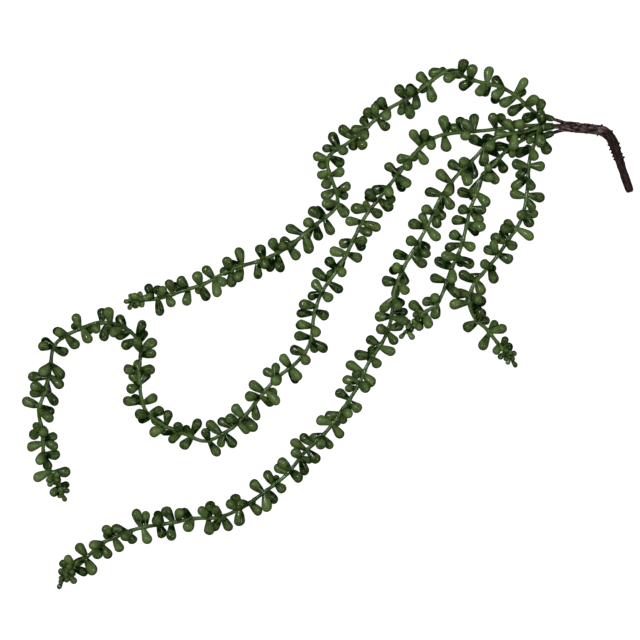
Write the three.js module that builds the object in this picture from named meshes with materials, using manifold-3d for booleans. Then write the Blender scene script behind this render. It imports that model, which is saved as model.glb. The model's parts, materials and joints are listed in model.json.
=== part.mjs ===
// Artificial string of pearls spray, lying on a flat surface.
// A bent brown main stem forks into five thin branches, and each branch carries one green vine.
// Millimetres, +Z up. The origin is the middle of the spray's box, on the surface that it lies on.

import * as THREE from "three";
import { mergeVertices } from "three/addons/utils/BufferGeometryUtils.js";
import Module from "manifold-3d";

const wasm = await Module();
wasm.setup();

// Scale of the route points, which were read by eye from a view from straight above
const MM_PER_PX = 0.8;
const ORIGIN_PX = { x: 327.6, y: 324.7 };

// Leaves: length from the middle of the vine to the tip, and largest radius
const LEAF_LENGTH = 14.5;
const LEAF_RADIUS = 4.2;
const LENGTH_RANGE = 0.14;
const RADIUS_RANGE = 0.08;
const LEAF_SIDES = 5;
const LEAF_ROOT = 0.5;
// Rings of a leaf from root to tip, as shares of its length and of its radius
const LEAF_RINGS = [
  { along: 0.62, radius: 1 },
  { along: 0.88, radius: 0.78 },
];
const FACET_DEPTH = ringGrowth(LEAF_SIDES) * Math.cos(Math.PI / LEAF_SIDES);
// Balls that hold a leaf, belly first
const LEAF_BALLS = [
  { along: 0.66, radius: 1.15 },
  { along: 0.46, radius: 0.95 },
  { along: 0.28, radius: 0.7 },
  { along: 0.14, radius: 0.45 },
];

// How each kind of leaf stands: degrees of lean to the tip, and of slope above the level
const STANDS = {
  side: { lean: { middle: 8, range: 20 }, slope: { middle: 6, range: 22 } },
  upper: { lean: { middle: 25, range: 50 }, slope: { middle: 52, range: 14 } },
  lower: { lean: { middle: 25, range: 45 }, slope: { middle: -80, range: 5 } },
};
// A leaf steeper than this is lowered, not lifted, where its place is taken
const STANDING_SLOPE = 40;
// How flat a leaf that lies on the surface is pressed
const PRESSED = 0.25;

// Space between leaves: from other vines, and as a share of the radius among a vine's own leaves
const CLEARANCE = 0.4;
const LOOSE = 1;
const DENSE = 0.8;

// What is tried for a leaf whose place is taken: sizes, and degrees of lift and of turn
const SIZES_TRIED = [1, 0.86, 0.72];
const LIFTS_TRIED = [0, 14, 28, 42, 56];
const TURNS_TRIED = [0, 13, -13, 26, -26, 39, -39];

// Vines
const VINE_RADIUS = 1.5;
const VINE_SIDES = 4;
const VINE_STEP = 12.5;
const FIRST_PAIR = 9.5;
const PAIR_SPACING = 12.8;
const PAIR_JITTER = 3;
const PAIR_OFFSET = 1.8;

// The tip of a vine is thinner, with small leaves close together
const TIP_STRETCH = 22;
const TIP_SPACING = 4;
const TIP_LEAF_SIZE = 0.5;
const TIP_THINNING = 0.65;

// Socket at the start of each vine, which is pushed on the end of its branch and swells behind its mouth
const SOCKET_RADIUS = 2.1;
const SOCKET_SWELL = 4;
const SOCKET_BULGES = { vine_sweep: 3, vine_outer: 2.9, vine_top: 2.6, vine_loop: 2.1, vine_inner: 2.1 };
const SOCKET_LENGTH = 8.5;
const SOCKET_TAPER = 8;
const SOCKET_DEPTH = 5;
const SOCKET_SIDES = 8;

// No leaf of another vine stands over the first stretch of the swept vine, which crosses over all
const OPEN_VINE = "vine_sweep";
const OPEN_LENGTH = 56;
const OPEN_HEIGHTS = [5, 10];
const OPEN_RADIUS = 0.8;

// Main stem: its bark has low ridges that wind round it, crossed by knobs
const STEM_SIDES = 12;
const STEM_CLEAR_RADIUS = 4.6;
const BARK_LENGTH = 70;
const BARK_RELIEF = 0.06;
const RIDGE_COUNT = 3;
const RIDGE_PITCH = 2.1;
const KNOB_COUNT = 2;
const KNOB_PITCH = 1.3;

// Branches, and the wire inside the main stem
const BRANCH_RADIUS = 1.25;
const BRANCH_ROOT_RADIUS = 1.5;
const BRANCH_SIDES = 6;
const WIRE_RADIUS = 0.9;
const WIRE_SIDES = 6;
const WIRE_LENGTH = 76;
const FIT_GAP = 0.3;

// Routes, root to tip: picture x, picture y, height above the surface in millimetres
const ROUTES = {
  vine_top: [
    [553, 119.3, 8.6], [545, 117, 9], [535, 113, 8.5], [525, 104, 8], [515, 95, 7.6], [500, 87, 7.4],
    [480, 82, 7.4], [465, 77, 7.8], [455, 70.5, 8], [445, 72, 7.8], [430, 82, 7.4], [410, 97, 7.2],
    [390, 108, 7.4], [375, 120, 7.8], [360, 134, 7.6], [345, 145, 7.4], [331, 154, 7.8], [327.5, 165, 8],
    [332, 180, 7.6], [337.5, 197, 7.4], [334, 210, 7.6], [318, 223, 7.6], [300, 238, 7.2], [283, 250, 7.4],
    [262, 260, 7.6], [232, 269, 7.2], [206, 283, 7.4], [182, 291, 7], [160, 298, 5.6], [132, 301, 3.2],
  ],
  vine_loop: [
    [553, 125.6, 8], [535, 125.5, 8], [515, 127, 8], [500, 128.5, 8], [485, 130.5, 7.8], [455, 133, 7.6],
    [436, 137, 7.4], [420, 148, 7.6], [403, 168, 7.8], [385, 191, 7.4], [365, 217, 7.2], [353, 241, 7.6],
    [340, 266, 7.8], [322, 292, 7.6], [314, 316, 7.4], [310, 343, 7.4], [297, 362, 7.8], [277, 378, 7.6],
    [260, 397, 7.2], [244, 417, 7.4], [226, 432, 7.8], [205, 441, 7.6], [185, 434, 7.4], [165, 426, 7.4],
    [148, 414, 7.8], [141, 396, 7.6], [139, 370, 7.2], [141, 348, 7.6], [135, 336, 7.8], [120, 325.5, 7.6],
    [98, 323, 7.4], [80, 329, 7.6], [62, 338, 7.8], [53, 349, 7.6], [50, 370, 7.4], [45, 391, 7.4],
    [39, 411, 7.8], [42.5, 433, 7.4], [44, 458, 6.8], [51, 474, 5.6], [61, 494, 3.2],
  ],
  vine_sweep: [
    [553, 127.4, 13.2], [540, 128, 14.5], [520, 133.5, 16], [502, 136, 15], [489, 143, 12], [473, 159.5, 8.6],
    [454, 179, 7.6], [440, 199, 7.4], [430.5, 220, 7.8], [417, 245, 7.6], [404, 267, 7.4], [395, 290, 7.8],
    [391, 320, 7.6], [383, 341, 7.4], [368, 364, 7.6], [358, 386, 7.8], [343, 409, 7.4], [326, 432, 7.6],
    [305, 452, 7.4], [287, 474, 7.6], [266, 491, 7.8], [243, 507, 7.4], [220, 517, 7.6], [195, 518.5, 7.8],
    [170, 523, 7.4], [140, 528, 7.6], [118, 536, 7.4], [101, 544, 7.2], [88, 556, 6.4], [74, 565, 5],
    [62, 582, 3.2],
  ],
  vine_inner: [
    [553, 126.6, 3.2], [540, 130, 4], [528, 137, 5.6], [516, 144, 7], [505, 152, 7.6], [494, 164, 7.8],
    [483, 175, 7.6], [477, 192, 7.4], [470, 210, 7.6], [466, 228, 7.8], [460, 250, 7.4], [451, 270, 7.6],
    [444, 290, 7.4], [436, 305, 6.6], [424.5, 313, 5.4], [406, 332, 3.2],
  ],
  vine_outer: [
    [553, 132.9, 8], [541, 138, 8.4], [534, 145, 8.4], [530, 157, 8], [528.5, 171, 7.6], [527.5, 187, 7.4],
    [525.5, 203.5, 7.6], [520.5, 221, 7.8], [509, 239, 7.4], [497, 256.5, 7.6], [484, 272, 7.8],
    [473.5, 285, 7.6], [469.5, 299, 7.4], [470.5, 309, 7.6], [476, 319.5, 7.4], [487, 329.5, 6.8],
    [497, 342, 5.2], [512, 360, 3.2],
  ],
};

// The order in which the vines take their space, and the seed of each one's random draws
const VINES = [
  { name: "vine_sweep", seed: 104 },
  { name: "vine_top", seed: 105 },
  { name: "vine_outer", seed: 28 },
  { name: "vine_loop", seed: 128 },
  { name: "vine_inner", seed: 80 },
];

// Main stem, from the fork to its free end: picture x, picture y, height and radius in millimetres
const MAIN_STEM = [
  [562, 126.3, 7.6, 1.8], [566, 126.5, 7.6, 3.8], [572, 127, 7.6, 4.1], [582, 128.1, 7.4, 3.9],
  [592, 129.1, 7, 3.7], [601.3, 130.4, 6.6, 4], [606.5, 133.2, 6.2, 3.9], [611.2, 137.8, 5.8, 3.9],
  [614.4, 144.6, 5.4, 3.7], [617.4, 152.9, 4.9, 3.5], [620.4, 160.8, 4.4, 3.3], [623.2, 168.9, 3.9, 3.1],
  [624.6, 172.9, 3.6, 3.1], [625.2, 174.8, 3.5, 3.4], [627.8, 182.2, 3.4, 3.3], [630.3, 189.2, 3.3, 3.2],
  [631.2, 192.2, 3.2, 2.2],
];

// Where each branch leaves the main stem, on the way to its vine
const BRANCH_ROOTS = {
  vine_top: [[573, 125.6, 8], [564, 122.6, 8.4]],
  vine_loop: [[573, 126.2, 7.8], [563, 125.4, 7.8]],
  vine_sweep: [[573, 127.4, 8.6], [563, 127.4, 10.6]],
  vine_inner: [[573, 127.4, 6.2], [563, 126.8, 4.4]],
  vine_outer: [[573, 128.6, 7.4], [564, 129.7, 7.6]],
};

// Thorn like nubs on the bark: distance from the fork, and angle round the stem in degrees
const NUB_HEIGHT = 1.2;
const NUB_RADIUS = 1.1;
const NUB_SIDES = 4;
const NUBS = [
  [14, 70], [18, 128], [23, 44], [27, 96], [29, 182], [31, 4], [34, 62], [38.5, 6], [43, 112],
  [46, 176], [48, 2], [50, 184], [51.5, 10], [53, 176], [56, 182], [56.5, 356], [58.5, 178],
  [59.5, 6], [63, 80], [24, 250], [41, 285],
];

const UP = new THREE.Vector3(0, 0, 1);

function radians(degrees) {
  return THREE.MathUtils.degToRad(degrees);
}

// A ring with few sides is drawn larger, so that it has the area of a round one
function ringGrowth(sides) {
  return Math.sqrt((2 * Math.PI) / (sides * Math.sin((2 * Math.PI) / sides)));
}

function place([x, y, height]) {
  return new THREE.Vector3((x - ORIGIN_PX.x) * MM_PER_PX, (ORIGIN_PX.y - y) * MM_PER_PX, height);
}

// The same seed gives the same numbers each time, from 0 up to 1
function seededRandom(seed) {
  const modulus = 4294967296;
  let state = seed;
  return () => {
    state = (state * 1664525 + 1013904223) % modulus;
    return state / modulus;
  };
}

// A smooth route through hand chosen points, walked by distance
class Route {
  constructor(points) {
    const curve = new THREE.CatmullRomCurve3(points, false, "catmullrom", 0.5);
    const pieces = (points.length - 1) * Route.PIECES_PER_POINT;
    this.points = curve.getPoints(pieces);
    this.distances = [0];
    for (let i = 1; i <= pieces; i += 1) {
      this.distances.push(this.distances[i - 1] + this.points[i].distanceTo(this.points[i - 1]));
    }
    this.length = this.distances[pieces];
  }

  at(distance) {
    const wanted = THREE.MathUtils.clamp(distance, 0, this.length);
    let i = 1;
    while (this.distances[i] < wanted) {
      i += 1;
    }
    const share = (wanted - this.distances[i - 1]) / (this.distances[i] - this.distances[i - 1]);
    return this.points[i - 1].clone().lerp(this.points[i], share);
  }

  directionAt(distance) {
    const reach = 1;
    const middle = THREE.MathUtils.clamp(distance, reach, this.length - reach);
    return this.at(middle + reach).sub(this.at(middle - reach)).normalize();
  }

  // How far along the route its hand chosen point of this number lies
  distanceOfPoint(number) {
    return this.distances[number * Route.PIECES_PER_POINT];
  }
}
Route.PIECES_PER_POINT = 12;

// A closed skin of rings, pinched to a point at both ends
// where(ring, angle) gives each point, and rings are counted from -1, the first end, to count, the last
function skin(sides, count, where) {
  const geometry = new THREE.CylinderGeometry(0, 0, 1, sides, count + 1, true);
  const { position, uv } = geometry.attributes;
  for (let i = 0; i < position.count; i += 1) {
    const ring = Math.round((1 - uv.getY(i)) * (count + 1)) - 1;
    const side = (sides - Math.round(uv.getX(i) * sides)) % sides;
    const point = where(ring, (side / sides) * 2 * Math.PI);
    position.setXYZ(i, point.x, point.y, point.z);
  }
  geometry.deleteAttribute("normal");
  geometry.deleteAttribute("uv");
  return mergeVertices(geometry);
}

function toSolid(geometry) {
  const mesh = new wasm.Mesh({
    numProp: 3,
    vertProperties: geometry.attributes.position.array,
    triVerts: new Uint32Array(geometry.index.array),
  });
  return new wasm.Manifold(mesh);
}

function toMesh(name, solid, material) {
  const { vertProperties, triVerts } = solid.getMesh();
  const geometry = new THREE.BufferGeometry();
  geometry.setAttribute("position", new THREE.BufferAttribute(vertProperties, 3));
  geometry.setIndex(new THREE.BufferAttribute(triVerts, 1));
  geometry.computeVertexNormals();
  const mesh = new THREE.Mesh(geometry, material);
  mesh.name = name;
  return mesh;
}

function joinAll(solids) {
  return solids.reduce((whole, piece) => whole.add(piece));
}

// Joined pieces can close a small hollow between them, which is filled
function filled(solid) {
  return joinAll(solid.decompose().filter((shell) => shell.volume() > 0));
}

// The point at an angle round a line, from its left side over its top
function around(middle, forward, angle, radius) {
  const left = UP.clone().cross(forward).normalize();
  const top = forward.clone().cross(left);
  return middle
    .clone()
    .addScaledVector(left, Math.cos(angle) * radius)
    .addScaledVector(top, Math.sin(angle) * radius);
}

// A solid tube along a route between two distances, with flat ends and a flat side to the left
function tube(route, start, end, sides, step, radiusAt) {
  const steps = Math.max(1, Math.round((end - start) / step));
  const halfSide = Math.PI / sides;
  const geometry = skin(sides, steps + 1, (ring, angle) => {
    const share = THREE.MathUtils.clamp(ring / steps, 0, 1);
    const distance = start + share * (end - start);
    const middle = route.at(distance);
    if (ring < 0 || ring > steps) {
      return middle;
    }
    const turned = angle + halfSide;
    return around(middle, route.directionAt(distance), turned, radiusAt(distance, turned));
  });
  return toSolid(geometry);
}

// Leaves

// How low a leaf at this slope would reach
function lowestPoint(height, slope, length, radius) {
  const rings = LEAF_RINGS.map((ring) => {
    const middle = height + ring.along * length * Math.sin(slope);
    return middle - ring.radius * radius * FACET_DEPTH * Math.cos(slope);
  });
  return Math.min(...rings);
}

// The steepest slope at which a leaf rests on the surface, pressed a little flat
function restingSlope(height, length, radius) {
  const steepest = -60;
  const step = 0.5;
  let slope = steepest;
  while (lowestPoint(height, radians(slope), length, radius) < -PRESSED) {
    slope += step;
  }
  return slope;
}

// Balls that hold a leaf, to keep it clear of the other vines
function leafBalls({ root, direction, length, radius }) {
  return LEAF_BALLS.map((ball) => ({
    centre: root.clone().addScaledVector(direction, ball.along * length),
    radius: ball.radius * radius,
  }));
}

function routeBalls(route, end, radius) {
  const spacing = 1.5;
  const balls = [];
  for (let distance = 0; distance <= end; distance += spacing) {
    balls.push({ centre: route.at(distance), radius });
  }
  return balls;
}

function touches(balls, others, gap) {
  return balls.some((ball) => others.some((other) => {
    const reach = ball.radius + other.radius + gap;
    return ball.centre.distanceToSquared(other.centre) < reach * reach;
  }));
}

// Leaves grow in pairs, one pair to the sides and the next above and below, and get smaller at the tip
function wishedLeaves(route, seed) {
  const random = seededRandom(seed);
  const spread = (range) => (2 * random() - 1) * range;
  const wishes = [];
  let distance = FIRST_PAIR;
  let sideways = true;
  while (distance < route.length) {
    const tipShare = Math.min((route.length - distance) / TIP_STRETCH, 1);
    const size = THREE.MathUtils.lerp(TIP_LEAF_SIZE, 1, tipShare);
    const flip = random() < 0.5 ? -1 : 1;
    const middle = distance + spread(PAIR_JITTER) * size;
    for (const side of [-1, 1]) {
      const { lean, slope } = sideways ? STANDS.side : side < 0 ? STANDS.lower : STANDS.upper;
      wishes.push({
        distance: middle + spread(PAIR_OFFSET),
        side: sideways ? side : flip * side,
        lean: lean.middle + spread(lean.range),
        slope: slope.middle + spread(slope.range),
        length: LEAF_LENGTH * size * (1 + spread(LENGTH_RANGE)),
        radius: LEAF_RADIUS * size * (1 + spread(RADIUS_RANGE)),
      });
    }
    distance += THREE.MathUtils.lerp(TIP_SPACING, PAIR_SPACING, tipShare);
    sideways = !sideways;
  }
  const endLeaf = {
    distance: route.length,
    side: 1,
    lean: 90,
    slope: 0,
    length: LEAF_LENGTH * TIP_LEAF_SIZE,
    radius: LEAF_RADIUS * TIP_LEAF_SIZE,
  };
  return [...wishes, endLeaf];
}

// The places that a leaf may take, in order: as wished, then turned, lifted, more crowded and smaller
function* placesNear(wish) {
  for (const size of SIZES_TRIED) {
    for (const crowding of [LOOSE, DENSE]) {
      for (const lift of LIFTS_TRIED) {
        for (const turn of TURNS_TRIED) {
          const down = wish.slope > STANDING_SLOPE;
          yield { crowding, size, slope: wish.slope + (down ? -lift : lift), lean: wish.lean - turn };
        }
      }
    }
  }
}

// A leaf takes the first place that is clear of the other vines and not too deep in its own neighbours
function settledLeaf(wish, route, others, own) {
  const root = route.at(wish.distance);
  const forward = route.directionAt(wish.distance);
  const heading = Math.atan2(forward.y, forward.x);
  for (const tried of placesNear(wish)) {
    const length = wish.length * tried.size;
    const radius = wish.radius * tried.size;
    const slope = radians(Math.max(tried.slope, restingSlope(root.z, length, radius)));
    const azimuth = heading + wish.side * radians(90 - tried.lean);
    const direction = new THREE.Vector3(
      Math.cos(azimuth) * Math.cos(slope),
      Math.sin(azimuth) * Math.cos(slope),
      Math.sin(slope),
    );
    const leaf = { root, direction, length, radius };
    const balls = leafBalls(leaf);
    const belly = { centre: balls[0].centre, radius: radius * tried.crowding };
    if (!touches(balls, others, CLEARANCE) && !touches([belly], own, 0)) {
      own.push(belly);
      return leaf;
    }
  }
  return null;
}

// A leaf has a flat side down, and what would reach below the surface is pressed flat on it
function leafSolid({ root, direction, length, radius }) {
  const geometry = skin(LEAF_SIDES, LEAF_RINGS.length, (ring, angle) => {
    if (ring < 0) {
      return root.clone().addScaledVector(direction, -LEAF_ROOT);
    }
    if (ring === LEAF_RINGS.length) {
      return root.clone().addScaledVector(direction, length);
    }
    const middle = root.clone().addScaledVector(direction, LEAF_RINGS[ring].along * length);
    const reach = LEAF_RINGS[ring].radius * radius * ringGrowth(LEAF_SIDES);
    const point = around(middle, direction, angle + Math.PI / 2, reach);
    point.z = Math.max(point.z, 0);
    return point;
  });
  return toSolid(geometry);
}

// Vines

const vineRoutes = {};
const branchRoutes = {};
for (const { name } of VINES) {
  const points = ROUTES[name].map(place);
  vineRoutes[name] = new Route(points);
  const branchEnd = vineRoutes[name].at(SOCKET_DEPTH);
  branchRoutes[name] = new Route([...BRANCH_ROOTS[name].map(place), points[0], branchEnd]);
}

function vineString(route) {
  return tube(route, SOCKET_DEPTH + VINE_RADIUS, route.length, VINE_SIDES, VINE_STEP, (distance) => {
    const tipShare = Math.min((route.length - distance) / TIP_STRETCH, 1);
    return VINE_RADIUS * ringGrowth(VINE_SIDES) * THREE.MathUtils.lerp(TIP_THINNING, 1, tipShare);
  });
}

function vineSocket(name) {
  const step = 4;
  const end = SOCKET_LENGTH + SOCKET_TAPER;
  return tube(vineRoutes[name], 0, end, SOCKET_SIDES, step, (distance) => {
    const swollen = THREE.MathUtils.lerp(SOCKET_RADIUS, SOCKET_BULGES[name], Math.min(distance / SOCKET_SWELL, 1));
    const share = THREE.MathUtils.smoothstep(distance, SOCKET_SWELL, end);
    return THREE.MathUtils.lerp(swollen, VINE_RADIUS / 2, share);
  });
}

// A branch is thickest where it leaves the main stem, and even where the socket holds it
function branchSolid(branch) {
  const step = 4;
  const tapered = branch.length - SOCKET_DEPTH - SOCKET_RADIUS;
  return tube(branch, 0, branch.length - FIT_GAP, BRANCH_SIDES, step, (distance) => {
    const share = Math.min(distance / tapered, 1);
    return THREE.MathUtils.lerp(BRANCH_ROOT_RADIUS, BRANCH_RADIUS, share);
  });
}

function branchBore(branch) {
  const step = 4;
  const start = branch.length - SOCKET_DEPTH - SOCKET_RADIUS;
  return tube(branch, start, branch.length, BRANCH_SIDES, step, () => BRANCH_RADIUS + FIT_GAP);
}

function vineSolid(name, leaves) {
  const route = vineRoutes[name];
  const grown = joinAll([vineString(route), vineSocket(name), ...leaves.map(leafSolid)]);
  return filled(grown).subtract(branchBore(branchRoutes[name]));
}

function ballsOverOpenVine() {
  const balls = routeBalls(vineRoutes[OPEN_VINE], OPEN_LENGTH, OPEN_RADIUS);
  return OPEN_HEIGHTS.flatMap((height) => balls.map(({ centre, radius }) => (
    { centre: centre.clone().addScaledVector(UP, height), radius }
  )));
}

// Each vine in turn takes the space that the stems and the leaves before it have left
function settledLeaves() {
  const placed = new Map();
  for (const { name, seed } of VINES) {
    const route = vineRoutes[name];
    const others = routeBalls(stemRoute, stemRoute.length, STEM_CLEAR_RADIUS);
    for (const other of VINES) {
      const branch = branchRoutes[other.name];
      others.push(...routeBalls(branch, branch.length - SOCKET_DEPTH, BRANCH_RADIUS));
      if (other.name !== name) {
        const vine = vineRoutes[other.name];
        others.push(...routeBalls(vine, vine.length, VINE_RADIUS));
        others.push(...routeBalls(vine, SOCKET_LENGTH, SOCKET_BULGES[other.name]));
        others.push(...(placed.get(other.name) ?? []).flatMap(leafBalls));
      }
    }
    if (name !== OPEN_VINE) {
      others.push(...ballsOverOpenVine());
    }
    const own = [];
    const leaves = wishedLeaves(route, seed).map((wish) => settledLeaf(wish, route, others, own));
    placed.set(name, leaves.filter((leaf) => leaf !== null));
  }
  return placed;
}

// Main stem

const stemRoute = new Route(MAIN_STEM.map(place));
const wireStart = stemRoute.length - WIRE_LENGTH;
const wireEnd = stemRoute.length - 2 * FIT_GAP;

// The stem's radius follows its marks, with low ridges and knobs like bark
function stemRadius(distance, angle) {
  let i = 1;
  while (i < MAIN_STEM.length - 1 && stemRoute.distanceOfPoint(i) < distance) {
    i += 1;
  }
  const [before, after] = [stemRoute.distanceOfPoint(i - 1), stemRoute.distanceOfPoint(i)];
  const share = THREE.MathUtils.clamp((distance - before) / (after - before), 0, 1);
  const radius = THREE.MathUtils.lerp(MAIN_STEM[i - 1][3], MAIN_STEM[i][3], share);
  const ridges = Math.sin(RIDGE_COUNT * angle + distance / RIDGE_PITCH);
  const bark = ridges * Math.sin(KNOB_COUNT * angle + distance / KNOB_PITCH);
  return radius * (1 + (distance < BARK_LENGTH ? BARK_RELIEF * bark : 0));
}

function nubSolid([distance, degrees]) {
  const angle = radians(degrees);
  const middle = stemRoute.at(distance);
  const forward = stemRoute.directionAt(distance);
  const radius = stemRadius(distance, angle);
  const outward = around(middle, forward, angle, 1).sub(middle);
  const across = forward.clone().cross(outward);
  const geometry = skin(NUB_SIDES, 1, (ring, turn) => {
    if (ring < 0) {
      return around(middle, forward, angle, radius - 2 * NUB_HEIGHT);
    }
    if (ring > 0) {
      return around(middle, forward, angle, radius + NUB_HEIGHT);
    }
    return around(middle, forward, angle, radius - NUB_HEIGHT / 2)
      .addScaledVector(forward, Math.cos(turn) * NUB_RADIUS)
      .addScaledVector(across, Math.sin(turn) * NUB_RADIUS);
  });
  return toSolid(geometry);
}

// The wire's bore is open at the free end of the stem
function mainStemSolid() {
  const step = 3.1;
  const trunk = tube(stemRoute, 0, stemRoute.length - FIT_GAP, STEM_SIDES, step, stemRadius);
  const branches = VINES.map(({ name }) => branchSolid(branchRoutes[name]));
  const bore = wireTube(wireStart - FIT_GAP, stemRoute.length, WIRE_RADIUS + FIT_GAP);
  return filled(joinAll([trunk, ...branches, ...NUBS.map(nubSolid)])).subtract(bore);
}

function wireTube(start, end, radius) {
  const step = 6;
  return tube(stemRoute, start, end, WIRE_SIDES, step, () => radius);
}

const group = new THREE.Group();
const stemPlastic = new THREE.MeshStandardMaterial({ color: 0x33241f, roughness: 0.6, metalness: 0 });
const vinePlastic = new THREE.MeshStandardMaterial({ color: 0x41592c, roughness: 0.45, metalness: 0 });
const wireSteel = new THREE.MeshStandardMaterial({ color: 0x8a8d90, roughness: 0.4, metalness: 1 });

group.add(toMesh("main_stem", mainStemSolid(), stemPlastic));
group.add(toMesh("stem_wire", wireTube(wireStart, wireEnd, WIRE_RADIUS), wireSteel));
for (const [name, leaves] of settledLeaves()) {
  group.add(toMesh(name, vineSolid(name, leaves), vinePlastic.clone()));
}

export default group;
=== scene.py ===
"""Looks of an artificial string of pearls spray that lies on a pale surface, seen from straight above."""

import json
import math

import bpy
import numpy as np
from mathutils import Matrix, Vector, noise

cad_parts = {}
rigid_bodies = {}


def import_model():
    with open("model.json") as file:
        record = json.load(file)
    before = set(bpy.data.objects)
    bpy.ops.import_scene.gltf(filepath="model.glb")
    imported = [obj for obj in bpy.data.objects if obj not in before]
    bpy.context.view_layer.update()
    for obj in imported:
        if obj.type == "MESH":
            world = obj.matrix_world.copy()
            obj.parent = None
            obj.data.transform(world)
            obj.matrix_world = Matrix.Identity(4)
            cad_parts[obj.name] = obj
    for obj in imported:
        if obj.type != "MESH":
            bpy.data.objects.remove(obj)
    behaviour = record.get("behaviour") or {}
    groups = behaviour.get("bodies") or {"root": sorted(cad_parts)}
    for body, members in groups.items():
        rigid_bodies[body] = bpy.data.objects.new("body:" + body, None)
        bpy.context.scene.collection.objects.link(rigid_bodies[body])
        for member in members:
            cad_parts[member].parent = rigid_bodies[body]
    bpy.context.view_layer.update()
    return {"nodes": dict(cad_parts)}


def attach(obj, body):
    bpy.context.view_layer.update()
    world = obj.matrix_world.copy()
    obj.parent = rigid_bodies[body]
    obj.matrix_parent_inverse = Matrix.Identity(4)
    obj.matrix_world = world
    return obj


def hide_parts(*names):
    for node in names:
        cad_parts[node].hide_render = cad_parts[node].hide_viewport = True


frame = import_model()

# Sizes are in millimetres, and a mesh is turned to metres when it is made
MM = 0.001

# Scale of the route points, which are picture x, picture y and height above the surface
MM_PER_PX = 0.8
ORIGIN_PX = (327.6, 324.7)
PICTURE_SIDE_PX = 640

# Leaves: length from the middle of the vine to the tip, and largest radius
LEAF_LENGTH = 14.5
LEAF_RADIUS = 4.2
LENGTH_RANGE = 0.14
RADIUS_RANGE = 0.08
LEAF_ROOT = 0.5
NECK_RADIUS = 1.45
LEAF_PLUMPNESS = 1.02
LEAF_SIDES = 12
LEAF_FLATNESS = 0.95
# Where the rings of a leaf's side lie, and how many more make its round end
SIDE_SHARES = (0.16, 0.38, 0.62, 0.84)
ARC_STEPS = 5
# Leaf shapes: fullness of the sides, and side and height of the bow at the tip
LEAF_SHAPES = [(0.2, 0, 0), (0.4, 0.8, -0.5), (0.6, -0.6, 0.4), (0.3, -0.9, -0.7), (0, 0.5, 0.6)]
ROLL_RANGE = 25

# Tint of a leaf, from deep green at 0 to middle green at 1, and painted shade that deepens it near higher
# leaves and most under one
TINT_RANGE = (0.3, 1)
PAINTED_SHADE_UNDER = 0.12
PAINTED_SHADE_EACH_NEAR = 0.82
PAINTED_SHADE_REACH = 14
HIGHER_BY = 1.5

# The solids' own leaves have few sides, and rest on one of them
SOLID_SIDES = 5
SOLID_RINGS = [(0.62, 1), (0.88, 0.78)]
# Balls that hold a leaf, belly first: share of its length, and of its radius
LEAF_BALLS = [(0.66, 1.15), (0.46, 0.95), (0.28, 0.7), (0.14, 0.45)]

# How each kind of leaf stands, as middle and range: degrees of lean to the tip, and of slope above the level
STANDS = {
    "side": {"lean": (8, 20), "slope": (6, 22)},
    "upper": {"lean": (25, 50), "slope": (52, 14)},
    "lower": {"lean": (25, 45), "slope": (-80, 5)},
    "bud": {"lean": (30, 25), "slope": (20, 45)},
}
# A leaf steeper than this is lowered, not lifted, where its place is taken
STANDING_SLOPE = 40
STEEPEST_SLOPE = -60
SLOPE_STEP = 0.5
PRESSED = 0.25

# Space between leaves: from other vines, and as a share of the radius among a vine's own leaves
CLEARANCE = 0.4
NEAR_REACH = 40
BALL_SPACING = 1.5
LOOSE = 1
DENSE = 0.8
SIZES_TRIED = (1, 0.86, 0.72)
LIFTS_TRIED = (0, 14, 28, 42, 56)
TURNS_TRIED = (0, 13, -13, 26, -26, 39, -39)

# Vines
VINE_RADIUS = 1.5
FIRST_PAIR = 9.5
PAIR_SPACING = 12.8
PAIR_JITTER = 3
PAIR_OFFSET = 1.8
TIP_STRETCH = 22
TIP_SPACING = 4
TIP_LEAF_SIZE = 0.5
# Single leaves that bunch with the pairs, and the share of them that hang low
SINGLE_JITTER = 4
SINGLE_SIZE = 0.9
LOWER_SINGLES = 0.8
# Buds: young leaves that crowd round the tip, with their size at its end and at their start
BUD_STRETCH = 18
BUD_SPACING = 1.8
BUD_SIZE = 0.58
BUD_GROWTH = (0.75, 1.1)
BUD_LENGTH = 0.85
BUD_CROWDING = 0.74
# A leaf thinner than this is a young one, which gets no painted shade from higher leaves
YOUNG_RADIUS = 2.7
# The string, which swells where a leaf grows
TIP_THINNING = 0.65
STRING_STEP = 1.2
STRING_SIDES = 10
KNUCKLE_HEIGHT = 0.35
KNUCKLE_LENGTH = 1.6

# Socket at the start of each vine, which is pushed on the end of its branch
SOCKET_RADIUS = 2.1
SOCKET_SWELL = 4
SOCKET_BULGES = {"vine_sweep": 3, "vine_outer": 2.9, "vine_top": 2.6, "vine_loop": 2.1, "vine_inner": 2.1}
SOCKET_LENGTH = 8.5
SOCKET_TAPER = 8
SOCKET_DEPTH = 5
SOCKET_SIDES = 24
SOCKET_THINNING = 0.9
LIP_STEPS = 6
# The raised seam round a socket: its place past the straight part, its half width, slope and height
SEAM_PAST = 0.6
SEAM_HALF = 0.2
SEAM_SLOPE = 0.15
SEAM_HEIGHT = 0.35

# No leaf of another vine stands over the first stretch of the swept vine, which crosses over all
OPEN_VINE = "vine_sweep"
OPEN_LENGTH = 56
OPEN_HEIGHTS = (5, 10)
OPEN_RADIUS = 0.8

# Main stem, its branches, and the bore for the wire inside it
STEM_CLEAR_RADIUS = 4.6
STEM_SIDES = 40
TRUNK_STEP = 0.8
BRANCH_STEP = 1
BARK_LENGTH = 70
BARK_FADE = 3
BRANCH_RADIUS = 1.25
BRANCH_ROOT_RADIUS = 1.5
BRANCH_SIDES = 14
WIRE_RADIUS = 0.9
WIRE_LENGTH = 76
FIT_GAP = 0.3
END_ROUNDING = 2.8
END_SHARES = (0.2, 0.4, 0.6, 0.75, 0.87, 0.95, 1)
END_RADIUS = 3.1
END_RIM = 1.5
BRANCH_SWELL = 0.1
BRANCH_SWELL_LENGTH = 2.5
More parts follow.
